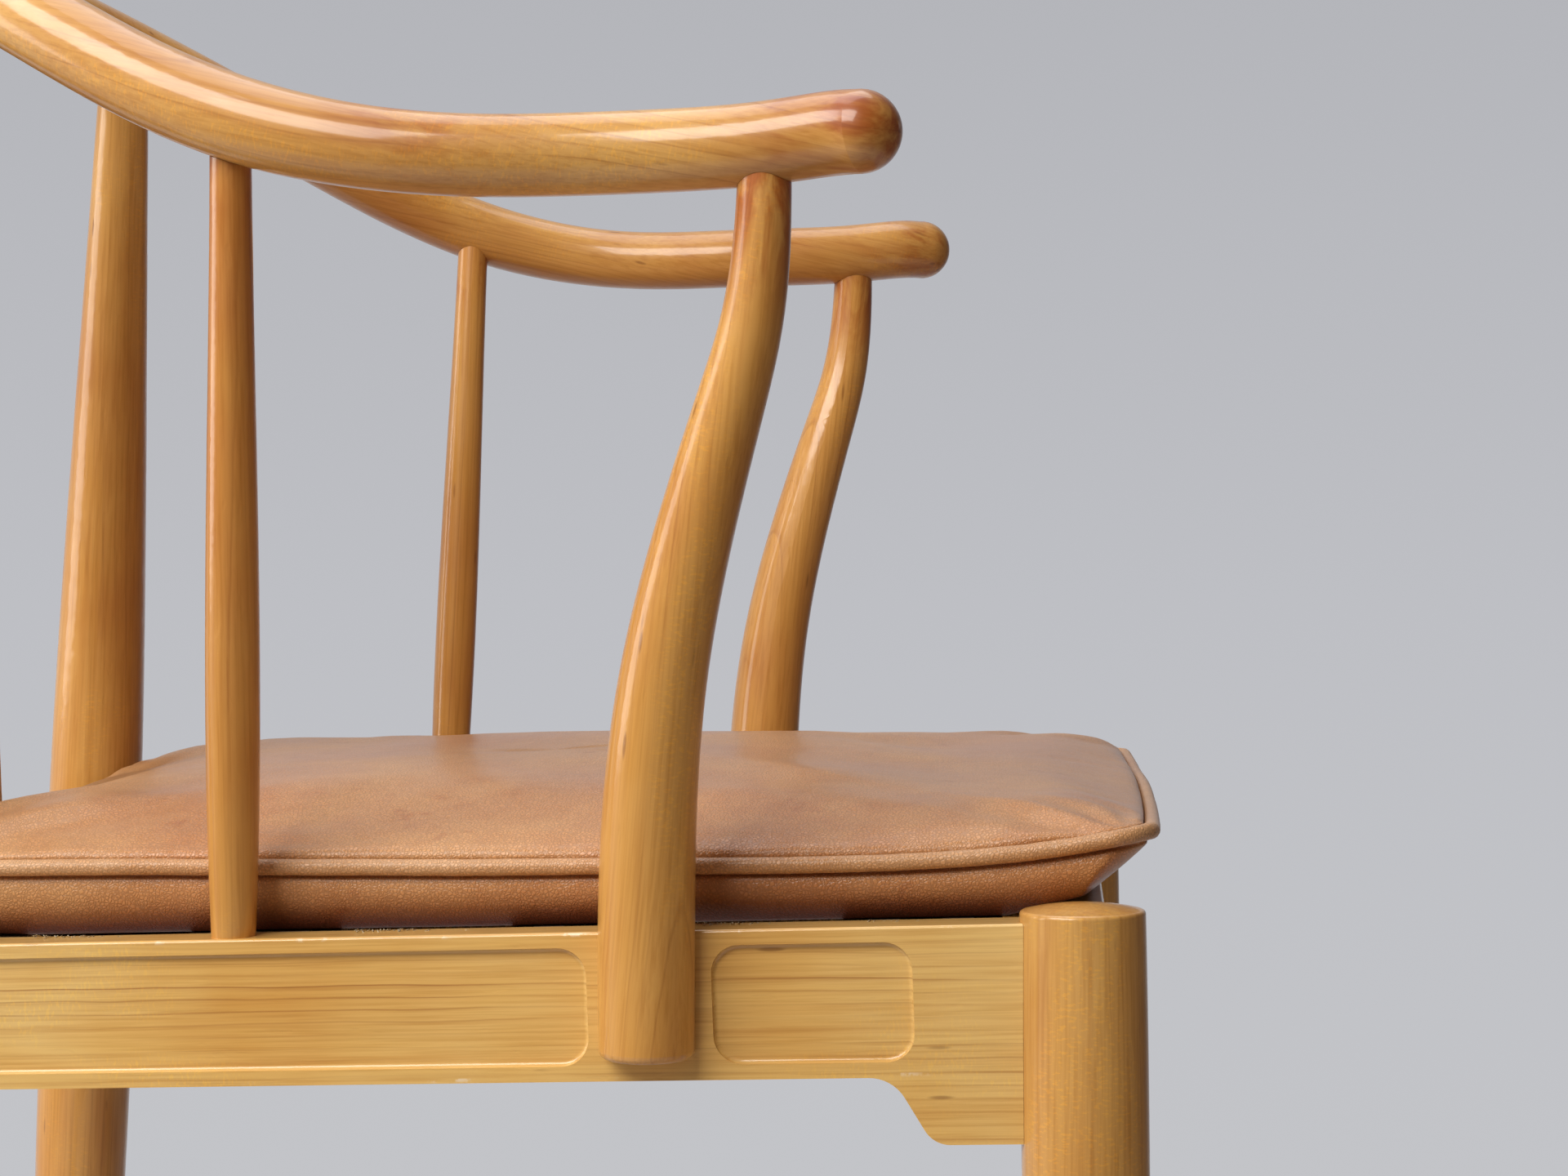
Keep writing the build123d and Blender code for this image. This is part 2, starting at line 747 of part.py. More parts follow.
def cushion_outline(inset, front_corner):
    """The cushion's plan, a rounded trapezoid whose sides follow the side rails."""
    front = cushion_front_y - front_leg_seat_y + inset
    rear = cushion_rear_y - front_leg_seat_y - inset
    side_inset = cushion_side_inset + inset
    front_half = -side_rail_outer(cushion_front_y).X - side_inset
    rear_half = -side_rail_outer(cushion_rear_y).X - side_inset
    points = [(-front_half, front), (front_half, front), (rear_half, rear), (-rear_half, rear)]
    face = make_face(Polyline(*points, close=True))
    face = fillet(face.vertices().sort_by(Axis.Y)[:2], front_corner)
    return fillet(face.vertices().sort_by(Axis.Y)[-2:], cushion_rear_corner)


def cushion_form(wall):
    """The cushion's closed form, shrunk all round by wall."""
    levels = [
        (wall, cushion_foot_inset, cushion_foot_corner),
        (cushion_boxing_rise, cushion_boxing_inset, cushion_foot_corner),
    ]
    for step in range(cushion_crown_steps + 1):
        turn = math.radians(90 * step / cushion_crown_steps)
        rise = cushion_seam_rise + (cushion_crown_rise - wall) * math.sin(turn)
        levels.append((rise, cushion_crown_inset * (1 - math.cos(turn)), cushion_front_corner))
    sections = []
    for rise, inset, corner in levels:
        section = cushion_outline(inset + wall, corner)
        sections.append(Pos(0, 0, cushion_lift + rise) * section)
    return seat * loft(sections, ruled=True)


def piping_solid(extra=0.0):
    """The piping round the cushion's seam, its radius grown by extra."""
    outline = cushion_outline(0, cushion_front_corner)
    path = Pos(0, 0, cushion_lift + cushion_seam_rise) * outline.wire()
    section = Plane(origin=path @ 0, z_dir=path % 0) * Circle(piping_diameter / 2 + extra)
    return seat * sweep(section, path=path, transition=Transition.ROUND)


# ================================================================ the pieces


def both_sides(shapes):
    """Right-hand pieces with their left-hand twins, kept as separate solids."""
    return Compound(children=shapes + [mirrored(shape) for shape in shapes])


def seat_rail(length, plane, recesses, rabbet_depth, copes, tenons, holes):
    """A seat rail with its sunk fields, rabbet, coped ends, tenons and holes."""
    board = seat * rail_board(length, plane)
    cuts = [seat * recess(start, end, plane) for start, end in recesses]
    cuts.append(seat * rabbet(length, rabbet_depth, plane))
    return (board - (cuts + copes) + tenons) - holes


def build():
    """Cut the joints and return every piece by name."""
    leg_cope = front_leg_blank(cope_gap)
    rear_cope = rear_post_blank(cope_gap)
    leg_cope_left = mirrored(leg_cope)
    rear_cope_left = mirrored(rear_cope)
    side_board_left = mirrored(side_board)
    screws = post_screws()
    screw_holes = post_screws(screw_clearance)
    side_staples, front_staples, rear_staples = staple_rows()
    front_glide = glide_parts(front_floor, front_seat)
    rear_glide = glide_parts(rear_floor, rear_top)
    rear_way = (rear_top - rear_floor).normalized()
    rear_tenon = peg(rear_top - rear_way * rear_tenon_length, rear_top, rear_tenon_diameter)
    splat_low = splat_foot_z - splat_tongue_depth
    tongues = splat_blank(splat_tongue_thickness, splat_tongue_inset, splat_low)
    rear_board = seat * rail_board(rear_length, rear_plane)
    pieces = {}

    pieces["side_rail_right"] = seat_rail(
        side_length,
        side_plane,
        side_recesses,
        cross_rabbet_depth,
        [leg_cope, rear_cope],
        side_tenons,
        screw_holes + [spindle_tenons] + side_staples,
    )
    pieces["front_rail"] = seat_rail(
        front_length,
        front_plane,
        [(recess_reach, front_length - recess_reach)],
        long_rabbet_depth,
        [leg_cope, leg_cope_left, side_board, side_board_left],
        front_tenons,
        front_staples,
    )
    pieces["rear_rail"] = seat_rail(
        rear_length,
        rear_plane,
        [(recess_reach, rear_length - recess_reach)],
        long_rabbet_depth,
        [rear_cope, rear_cope_left, side_board, side_board_left],
        rear_tenons,
        rear_staples + [tongues],
    )

    front_mortises = [side_tenons[0], front_tenons[1], side_bar_tenons[0], front_bar_tenons[0]]
    leg = domed(front_leg_blank()) - foot_trim(front_floor)
    pieces["front_leg_right"] = leg - front_mortises - front_glide

    rear_mortises = [side_tenons[1], rear_tenons[0], side_bar_tenons[1], rear_bar_tenons[0]]
    post = rear_post_blank() - foot_trim(rear_floor) - rail_cope
    pieces["rear_post_right"] = post + rear_tenon - rear_mortises - rear_glide

    pieces["front_stretcher"] = front_bar - [leg_cope, leg_cope_left] + front_bar_tenons
    pieces["rear_stretcher"] = rear_bar - [rear_cope, rear_cope_left] + rear_bar_tenons
    pieces["side_stretcher_right"] = side_bar - [leg_cope, rear_cope] + side_bar_tenons

    spindle = turned(spindle_foot, spindle_top, spindle_stations)
    pieces["spindle_right"] = spindle - side_board - rail_cope + spindle_tenons
    arm_post = arm_post_blank() - side_board - rail_cope
    pieces["arm_post_right"] = arm_post + arm_tenon - screw_holes
    pieces["arm_right"] = arm - [arm_tenon, spindle_tenons, rear_tenon]

    splat = splat_blank(splat_thickness, 0, splat_low)
    pieces["back_splat"] = splat - rail_cope - rear_board + tongues
    pieces["crest_rail"] = crest - tongues

    staples = side_staples + front_staples + rear_staples
    pieces["arm_post_screws"] = both_sides(screws)
    pieces["foot_glides"] = both_sides([front_glide, rear_glide])
    pieces["webbing_crosswise"] = Compound(children=[s - side_staples for s in cross_straps()])
    end_staples = front_staples + rear_staples
    pieces["webbing_lengthwise"] = Compound(children=[s - end_staples for s in long_straps()])
    pieces["webbing_staples"] = Compound(children=staples)

    pieces["cushion_piping"] = piping_solid()
    pieces["cushion_cover"] = cushion_form(0) - cushion_form(cushion_wall) - piping_solid(piping_gap)
    pieces["cushion_core"] = cushion_form(cushion_wall + cushion_core_gap)

    for name in list(pieces):
        if name.endswith("_right"):
            pieces[name.replace("_right", "_left")] = mirrored(pieces[name])
    return pieces


os.makedirs("parts", exist_ok=True)
for piece_name, piece in build().items():
    export_step(piece, f"parts/{piece_name}.step")
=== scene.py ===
import math
import random

import bpy
from mathutils import Matrix, Vector, kdtree, noise


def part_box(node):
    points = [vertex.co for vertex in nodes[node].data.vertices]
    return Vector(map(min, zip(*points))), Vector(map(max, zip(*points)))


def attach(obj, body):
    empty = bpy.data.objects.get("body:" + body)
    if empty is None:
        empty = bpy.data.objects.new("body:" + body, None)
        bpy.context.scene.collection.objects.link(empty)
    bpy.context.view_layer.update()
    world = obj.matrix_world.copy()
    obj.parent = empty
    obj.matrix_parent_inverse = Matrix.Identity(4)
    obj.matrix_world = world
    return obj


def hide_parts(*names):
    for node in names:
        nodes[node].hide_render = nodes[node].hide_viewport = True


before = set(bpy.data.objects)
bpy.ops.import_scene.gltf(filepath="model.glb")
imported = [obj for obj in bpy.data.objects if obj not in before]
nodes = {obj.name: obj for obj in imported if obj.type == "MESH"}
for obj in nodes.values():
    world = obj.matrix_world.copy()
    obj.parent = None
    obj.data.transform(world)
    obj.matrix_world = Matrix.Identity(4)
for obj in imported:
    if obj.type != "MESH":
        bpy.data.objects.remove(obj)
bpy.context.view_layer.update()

UP = Vector((0, 0, 1))
ACROSS = Vector((1, 0, 0))
DEEP = Vector((0, 1, 0))


# ---------------------------------------------------------------- shader helpers

def srgb(code, alpha=1.0):
    """A hex colour as the linear values that a shader takes."""
    values = [int(code[i:i + 2], 16) / 255 for i in (1, 3, 5)]
    return tuple(((v + 0.055) / 1.055) ** 2.4 if v > 0.04045 else v / 12.92 for v in values) + (alpha,)


def grey(value):
    return (value, value, value, 1.0)


def add(tree, kind, inputs=None, **settings):
    """Add one node, set its properties, and fill or link its inputs."""
    made = tree.nodes.new("ShaderNode" + kind)
    for key, value in settings.items():
        setattr(made, key, value)
    for key, value in (inputs or {}).items():
        socket = made.inputs[key]
        if isinstance(value, bpy.types.NodeSocket):
            tree.links.new(value, socket)
        else:
            socket.default_value = value
    return made


def sum_up(tree, operation, *values):
    """One arithmetic step between numbers or sockets."""
    return add(tree, "Math", dict(enumerate(values)), operation=operation).outputs[0]


def ramp(tree, factor, stops):
    """A colour ramp from (position, colour) stops."""
    made = add(tree, "ValToRGB", {"Fac": factor})
    elements = made.color_ramp.elements
    while len(elements) < len(stops):
        elements.new(0.5)
    for element, (position, colour) in zip(elements, stops):
        element.position = position
        element.color = colour
    return made.outputs["Color"]


def stretch(tree, value, low, high, start=0.0, end=1.0):
    """A value between low and high, moved smoothly to between start and end."""
    made = add(tree, "MapRange", {"Value": value, "From Min": low, "From Max": high,
                                  "To Min": start, "To Max": end}, interpolation_type="SMOOTHSTEP")
    return made.outputs[0]


def mix(tree, mode, factor, first, second):
    """Two colours mixed in one of the blend modes."""
    made = add(tree, "Mix", {0: factor, 6: first, 7: second}, data_type="RGBA", blend_type=mode)
    return made.outputs[2]


def cloud(tree, vector, size, detail=3.0, rough=0.5, swirl=0.0):
    """Soft blotches about size millimetres across."""
    made = add(tree, "TexNoise", {"Vector": vector, "Scale": 1000.0 / size, "Detail": detail,
                                  "Roughness": rough, "Distortion": swirl})
    return made.outputs[0]


def dot(tree, vector, direction):
    made = add(tree, "VectorMath", {0: vector, 1: tuple(direction)}, operation="DOT_PRODUCT")
    return made.outputs["Value"]


def shift(tree, vector, offset):
    return add(tree, "VectorMath", {0: vector, 1: tuple(offset)}, operation="ADD").outputs[0]


def relief(tree, shader, height, strength, depth):
    """Bump of a depth in millimetres."""
    bump = add(tree, "Bump", {"Height": height, "Strength": strength, "Distance": depth / 1000})
    tree.links.new(bump.outputs[0], shader.inputs["Normal"])


def material(name, **values):
    """A material with one Principled shader; values are its input sockets."""
    made = bpy.data.materials.new(name)
    made.use_nodes = True
    shader = made.node_tree.nodes["Principled BSDF"]
    for key, value in values.items():
        shader.inputs[key.replace("_", " ")].default_value = value
    return made, made.node_tree, shader


# ---------------------------------------------------------------- cherry

# How each sort of piece has aged: its palest, usual and deepest wood, and how much its year rings show.
SAWN_RAIL = {"pale": "#f0cf89", "usual": "#e6ba6c", "deep": "#d8a150", "rings": 0.78}
TURNED_LEG = {"pale": "#dcaa60", "usual": "#d09950", "deep": "#bf813d", "rings": 0.38}
TURNED_POST = {"pale": "#e3b064", "usual": "#d79e50", "deep": "#c4833e", "rings": 0.42}
BENT_ARM = {"pale": "#dfad62", "usual": "#ce974e", "deep": "#b87636", "rings": 0.50}

RING_SPACING = 4.3
FINE_RING_SPACING = 1.5


def rings_of_growth(tree, radius, spacing):
    """Dark thin late wood at the end of each year's growth, some years stronger than others."""
    count = sum_up(tree, "DIVIDE", radius, spacing / 1000)
    line = ramp(tree, sum_up(tree, "FRACT", count), [
        (0.0, grey(0.45)), (0.05, grey(0.0)), (0.62, grey(0.04)),
        (0.86, grey(0.28)), (0.94, grey(1.0)), (1.0, grey(0.45))])
    year = add(tree, "TexWhiteNoise", {"W": sum_up(tree, "FLOOR", count)}, noise_dimensions="1D")
    return sum_up(tree, "MULTIPLY", line, sum_up(tree, "MULTIPLY_ADD", year.outputs["Value"], 0.8, 0.15))


def cherry(name, along, pith, age, seed, worn=(), handled=()):
    """Cherry under an aged satin lacquer.

    Rings are cut along or across by the piece's own shape, so a bent or turned one shows loops.
    along is the way the grain runs and pith a point on the middle of the tree. worn lists arrises
    as (point, outward normal, width in mm), and handled lists places that hands darken, as
    (point, reach in mm). The lacquer gives a clear narrow highlight over a soft sheen.
    """
    made, tree, shader = material(name, IOR=1.5, Specular_IOR_Level=0.35, Coat_Weight=0.72,
                                  Coat_Roughness=0.12, Coat_IOR=1.5)
    grain = Vector(along).normalized()
    side = grain.orthogonal().normalized()
    place = add(tree, "TexCoord").outputs["Object"]
    from_pith = shift(tree, place, -Vector(pith))
    run, across, over = (dot(tree, from_pith, way) for way in (grain, side, grain.cross(side)))

    def along_grain(share):
        """Space squeezed along the grain, so that patterns in it run long."""
        length = sum_up(tree, "MULTIPLY", run, share)
        space = add(tree, "CombineXYZ", {0: across, 1: over, 2: length}).outputs[0]
        return shift(tree, space, (seed, seed * 1.7, seed * 0.6))

    slow, long, streaky = along_grain(0.30), along_grain(0.10), along_grain(0.022)
    radius = sum_up(tree, "SQRT", sum_up(
        tree, "ADD", sum_up(tree, "MULTIPLY", across, across), sum_up(tree, "MULTIPLY", over, over)))
    wander = sum_up(tree, "MULTIPLY_ADD", cloud(tree, long, 70, 2.0, 0.45), 0.013, radius)
    wander = sum_up(tree, "MULTIPLY_ADD", cloud(tree, slow, 16, 2.0, 0.5), 0.0022, wander)
    broad = rings_of_growth(tree, wander, RING_SPACING)
    narrow = rings_of_growth(tree, wander, FINE_RING_SPACING)
    fading = stretch(tree, cloud(tree, slow, 45, 2.0, 0.5), 0.35, 0.62, 0.25, 1.0)
    line = sum_up(tree, "MULTIPLY", sum_up(tree, "MULTIPLY_ADD", narrow, 0.2, broad), fading)

    figure = cloud(tree, slow, 52, 3.0, 0.55, 0.4)
    blotch = cloud(tree, place, 120, 3.0, 0.5)
    tone = sum_up(tree, "MULTIPLY_ADD", blotch, 0.45, sum_up(tree, "MULTIPLY", figure, 0.55))
    wood = ramp(tree, tone, [
        (0.32, srgb(age["deep"])), (0.48, srgb(age["usual"])), (0.66, srgb(age["pale"]))])
    # Late wood is warmer and browner than the growth between.
    wood = mix(tree, "MIX", sum_up(tree, "MULTIPLY", line, age["rings"]), wood, srgb("#98551f"))
    fibre = cloud(tree, streaky, 1.3, 3.0, 0.6)
    streak = cloud(tree, streaky, 5.5, 3.0, 0.6)
    wood = mix(tree, "MULTIPLY", 1.0, wood, ramp(
        tree, streak, [(0.30, (0.95, 0.90, 0.84, 1)), (0.5, grey(1.0)), (0.72, (1.03, 1.03, 1.0, 1))]))
    wood = mix(tree, "MULTIPLY", 1.0, wood, ramp(
        tree, fibre, [(0.34, (0.88, 0.82, 0.74, 1)), (0.56, grey(1.0))]))
    # Rays catch the light as small ripples across the grain.
    ripple = cloud(tree, along_grain(2.6), 2.4, 2.0, 0.5)
    ripple = sum_up(tree, "MULTIPLY", stretch(tree, ripple, 0.52, 0.66), stretch(tree, figure, 0.5, 0.62))
    wood = mix(tree, "SOFT_LIGHT", sum_up(tree, "MULTIPLY", ripple, 0.4), wood, srgb("#ffdca0"))
    # Gum leaves short brown dashes along the grain, a few in each hand's breadth.
    cell = add(tree, "TexVoronoi", {"Vector": along_grain(0.16), "Scale": 1000 / 4.2})
    dash = stretch(tree, cell.outputs["Distance"], 0.10, 0.24, 1.0, 0.0)
    chosen = add(tree, "SeparateColor", {0: cell.outputs["Color"]}).outputs[0]
    here = stretch(tree, cloud(tree, slow, 24, 2.0, 0.6), 0.56, 0.64)
    gum = sum_up(tree, "MULTIPLY", sum_up(tree, "MULTIPLY", dash, here),
                 sum_up(tree, "GREATER_THAN", chosen, 0.5))
    wood = mix(tree, "MIX", sum_up(tree, "MULTIPLY", gum, 0.5), wood, srgb("#6f3514"))

    smear = cloud(tree, along_grain(0.35), 13, 4.0, 0.62, 0.5)
    for point, reach in handled:
        away = add(tree, "VectorMath", {0: place, 1: tuple(point)}, operation="DISTANCE").outputs["Value"]
        near = stretch(tree, away, reach * 0.25 / 1000, reach / 1000, 1.0, 0.0)
        dark = sum_up(tree, "MULTIPLY", near, stretch(tree, smear, 0.42, 0.62, 0.12, 0.85))
        wood = mix(tree, "MULTIPLY", dark, wood, srgb("#c98a5c"))

    rubbed = cloud(tree, place, 7, 4.0, 0.65)
    grouped = cloud(tree, place, 38, 2.0, 0.5)
    chipped = sum_up(tree, "MULTIPLY", stretch(tree, rubbed, 0.52, 0.60), stretch(tree, grouped, 0.57, 0.66))
    for point, normal, width in worn:
        depth = sum_up(tree, "MULTIPLY", dot(tree, shift(tree, place, -Vector(point)), normal), -1.0)
        edge = sum_up(tree, "MULTIPLY", stretch(tree, depth, width * 0.4 / 1000, width / 1000, 1.0, 0.0),
                      sum_up(tree, "GREATER_THAN", depth, 0.0001))
        bare = sum_up(tree, "MULTIPLY", edge, chipped)
        wood = mix(tree, "MIX", sum_up(tree, "MULTIPLY", bare, 0.75), wood, srgb("#f3dfbd"))
    tree.links.new(wood, shader.inputs["Base Color"])

    # Rubbed lacquer is duller in places; scratches and dents are shorter than a finger.
    gloss = stretch(tree, cloud(tree, place, 34, 5.0, 0.65), 0.35, 0.68, 0.30, 0.46)
    tree.links.new(gloss, shader.inputs["Roughness"])
    dents = cloud(tree, place, 13, 4.0, 0.6)
    pits = stretch(tree, cloud(tree, slow, 5, 2.0, 0.5), 0.27, 0.36)
    height = sum_up(tree, "MULTIPLY_ADD", fibre, 0.35, sum_up(tree, "MULTIPLY_ADD", dents, 1.4, pits))
    height = sum_up(tree, "MULTIPLY_ADD", line, -0.25, height)
    relief(tree, shader, height, 0.2, 0.35)
    return made


# ---------------------------------------------------------------- other materials

def leather(name, pale, deep, shine):
    """Vegetable-tanned cowhide: pores under a millimetre wide, waxed and clouded by handling."""
    made, tree, shader = material(name, IOR=1.5, Specular_IOR_Level=0.45, Coat_Weight=0.22,
                                  Coat_Roughness=0.22, Sheen_Weight=0.04, Sheen_Roughness=0.4)
    place = add(tree, "TexCoord").outputs["Object"]
    broad = cloud(tree, place, 95, 3.0, 0.5, 0.3)
    fine = cloud(tree, place, 14, 4.0, 0.6)
    tone = sum_up(tree, "MULTIPLY_ADD", fine, 0.3, sum_up(tree, "MULTIPLY", broad, 0.7))
    hide = ramp(tree, tone, [(0.36, srgb(deep)), (0.62, srgb(pale))])
    # The pebbles are drawn a little larger than life, 1.3 mm, so that they show.
    sway = add(tree, "TexNoise", {"Vector": place, "Scale": 400.0})
    bent = mix(tree, "MIX", 0.0016, place, sway.outputs["Color"])
    grain = add(tree, "TexVoronoi", {"Vector": bent, "Scale": 1000 / 1.3}, feature="DISTANCE_TO_EDGE")
    pore = ramp(tree, grain.outputs["Distance"], [(0.0, grey(0.0)), (0.25, grey(1.0))])
    crease = cloud(tree, place, 4.2, 5.0, 0.62, 0.7)
    hide = mix(tree, "MULTIPLY", 0.30, hide, pore)
    spot = stretch(tree, cloud(tree, place, 22, 5.0, 0.7), 0.60, 0.72)
    hide = mix(tree, "MULTIPLY", sum_up(tree, "MULTIPLY", spot, 0.35), hide, srgb("#c98f63"))
    # Painted shade: towards its foot, where it meets the rails in shadow, the boxing is darkened to a deep
    # red.
    height = dot(tree, shift(tree, place, -SEAT.translation), SEAT_UP)
    hide = mix(tree, "MULTIPLY", stretch(tree, height, -0.001, 0.017, 1.0, 0.0), hide, srgb("#93553a"))
    tree.links.new(hide, shader.inputs["Base Color"])
    gloss = stretch(tree, broad, 0.3, 0.7, shine - 0.05, shine + 0.07)
    gloss = sum_up(tree, "ADD", gloss, stretch(tree, height, -0.001, 0.010, 0.28, 0.0))
    tree.links.new(gloss, shader.inputs["Roughness"])
    relief(tree, shader, sum_up(tree, "MULTIPLY_ADD", crease, 1.5, pore), 0.6, 0.22)
    return made


def jute(name, warp, weft, thread):
    """Woven jute webbing: hairy warp and weft threads, thread millimetres apart."""
    made, tree, shader = material(name, Roughness=0.9, Specular_IOR_Level=0.2)
    place = add(tree, "TexCoord").outputs["Object"]
    axes = add(tree, "SeparateXYZ", {0: place})
    turn = 1000 * math.pi / thread
    rows, columns = (sum_up(tree, "SINE", sum_up(tree, "MULTIPLY", axes.outputs[i], turn)) for i in (0, 1))
    over = sum_up(tree, "GREATER_THAN", sum_up(tree, "MULTIPLY", rows, columns), 0.0)
    hair = cloud(tree, place, 1.1, 4.0, 0.65)
    threads = mix(tree, "MIX", over, srgb(warp), srgb(weft))
    threads = mix(tree, "MULTIPLY", 0.8, threads, ramp(tree, hair, [(0.3, grey(0.45)), (0.65, grey(1.1))]))
    tree.links.new(threads, shader.inputs["Base Color"])
    height = sum_up(tree, "ADD", sum_up(tree, "ABSOLUTE", rows), sum_up(tree, "ABSOLUTE", columns))
    relief(tree, shader, sum_up(tree, "MULTIPLY_ADD", hair, 0.7, height), 0.8, 0.6)
    return made


def zinc_plate(name):
    """Zinc-plated steel: a bluish grey metal, cloudy where the plating is thin."""
    made, tree, shader = material(name, Metallic=1.0, Roughness=0.38)
    place = add(tree, "TexCoord").outputs["Object"]
    bloom = cloud(tree, place, 2.5, 4.0, 0.6)
    plating = ramp(tree, bloom, [(0.3, srgb("#85847f")), (0.7, srgb("#bcbbb4"))])
    tree.links.new(plating, shader.inputs["Base Color"])
    relief(tree, shader, bloom, 0.2, 0.1)
    return made


def moulded_glide(name):
    """Brown moulded nylon with the speckle of its tool, scuffed where it slides."""
    made, tree, shader = material(name, Roughness=0.5)
    place = add(tree, "TexCoord").outputs["Object"]
    scuff = cloud(tree, place, 8, 5.0, 0.7)
    nylon = ramp(tree, scuff, [(0.35, srgb("#3c2c20")), (0.75, srgb("#5b4636"))])
    tree.links.new(nylon, shader.inputs["Base Color"])
    relief(tree, shader, cloud(tree, place, 0.7, 3.0, 0.6), 0.25, 0.1)
    return made


def paint(obj, surface):
    obj.data.materials.clear()
    obj.data.materials.append(surface)
    for polygon in obj.data.polygons:
        polygon.material_index = 0


# ---------------------------------------------------------------- wooden pieces

# The seat's own plane: x across, y back along the seat from the front legs, z square to it.
SEAT_SLOPE = math.radians(2.19)
SEAT = Matrix.Translation((0, -0.2466, 0.4220)) @ Matrix.Rotation(-SEAT_SLOPE, 4, "X")
SEAT_UP = SEAT.to_3x3() @ UP
RAIL_HEIGHT = 0.052

# Each wooden piece: the way its grain runs, the middle of its tree from its own middle, and its age.
GRAIN = {
    "front_leg_right": (UP, (0.06, -0.05, 0.0), TURNED_LEG),
    "front_leg_left": (UP, (0.05, 0.07, 0.0), TURNED_LEG),
    "rear_post_right": ((0.085, -0.073, 1), (0.05, -0.035, 0.0), TURNED_POST),
    "rear_post_left": ((-0.085, -0.073, 1), (0.035, -0.03, 0.0), TURNED_POST),
    "side_rail_right": ((0.055, 1, -0.038), (0.03, 0.0, -0.13), SAWN_RAIL),
    "side_rail_left": ((-0.055, 1, -0.038), (-0.03, 0.0, -0.15), SAWN_RAIL),
    "front_rail": (ACROSS, (0, 0.03, -0.15), SAWN_RAIL),
    "rear_rail": (ACROSS, (0, -0.02, -0.15), SAWN_RAIL),
    "front_stretcher": (ACROSS, (0, 0.05, -0.1), TURNED_LEG),
    "rear_stretcher": (ACROSS, (0, 0.04, -0.1), TURNED_LEG),
    "side_stretcher_right": (DEEP, (0.05, 0, -0.1), TURNED_LEG),
    "side_stretcher_left": (DEEP, (-0.05, 0, -0.1), TURNED_LEG),
    "crest_rail": (ACROSS, (0, 0.045, -0.05), BENT_ARM),
    "arm_right": ((0.16, 1.0, 0.22), (-0.035, 0.0, -0.085), BENT_ARM),
    "arm_left": ((-0.16, 1.0, 0.22), (0.04, 0.0, 0.085), BENT_ARM),
    "spindle_right": ((-0.12, -0.02, 1), (0.05, 0.05, 0), TURNED_POST),
    "spindle_left": ((0.12, -0.02, 1), (-0.04, 0.05, 0), TURNED_POST),
    "arm_post_right": ((-0.08, -0.1, 1), (-0.05, -0.045, 0), TURNED_POST),
    "arm_post_left": ((0.08, -0.1, 1), (0.05, -0.045, 0), TURNED_POST),
    "back_splat": ((0, 0.11, 1), (0.01, 0.035, 0), TURNED_POST),
}


def worn_arrises(name):
    """Where a piece's edges take knocks: rails along the top and foot, legs round the domed top."""
    if name.startswith("side_rail"):
        top = SEAT.translation
        return [(top, SEAT_UP, 1.8), (top - SEAT_UP * (RAIL_HEIGHT - 0.0018), SEAT_UP, 1.8)]
    if name.startswith("front_leg"):
        dome_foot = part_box(name)[1].z - 0.0045
        return [(Vector((0, 0, dome_foot)), UP, 1.6)]
    return []


def handled_places(name):
    """Where hands have darkened the lacquer: the arms' tips and the tops of the posts."""
    low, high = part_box(name)
    outer = low.x if name.endswith("right") else high.x
    if name.startswith("arm_post"):
        return [(Vector((outer, low.y, high.z)), 75)]
    if name.startswith("arm"):
        tip = Vector((outer * 0.97, low.y + 0.012, low.z + 0.034))
        return [(tip, 62), (tip + Vector((0, 0.15, 0.01)), 45)]
    if name.startswith("spindle"):
        return [(Vector(((low.x + high.x) / 2, (low.y + high.y) / 2, high.z)), 50)]
    return []


def dress_wood():
    """Give every wooden piece its own plank of cherry."""
    for index, (name, (along, offset, age)) in enumerate(GRAIN.items()):
        low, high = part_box(name)
        pith = (low + high) / 2 + Vector(offset)
        surface = cherry("cherry_" + name, along, pith, age, 0.37 * index,
                         worn_arrises(name), handled_places(name))
        paint(nodes[name], surface)


def to_mesh(name, vertices, faces, smooth=True):
    mesh = bpy.data.meshes.new(name)
    mesh.from_pydata([tuple(v) for v in vertices], [], faces)
    mesh.update()
    for polygon in mesh.polygons:
        polygon.use_smooth = smooth
    obj = bpy.data.objects.new(name, mesh)
    bpy.context.scene.collection.objects.link(obj)
    return obj


# ---------------------------------------------------------------- cushion

# The cushion's plan and profile, in metres, in the seat's own plane.
FRONT = -0.0244
REAR = 0.4526
FRONT_HALF = 0.2097
REAR_HALF = 0.1833
FRONT_CORNER = 0.014
REAR_CORNER = 0.044
FRONT_BOW = 0.004
CROWN = 0.0482
FRONT_DROP = 0.0115
ROLL_RISE = 0.0135
ROLL_REACH = 0.0150
FRONT_ROLL_RISE = 0.0165
FRONT_ROLL_REACH = 0.0230
CROWN_REACH = 0.030
RAIL_LAP = 0.0044
PIPING = 0.003
ARC_STEPS = 14
SIDE_STEPS = 64


def clamp(value):
    return max(0.0, min(1.0, value))


def smooth(value):
    value = clamp(value)
    return value * value * (3 - 2 * value)


# The seam's height above the rails, where down the seat it lies lowest, and how far each end lifts.
SEAM_HEIGHT = 0.0194
SEAM_LOWEST = 0.086
REAR_LIFT = 0.0072
FRONT_LIFT = 0.0060


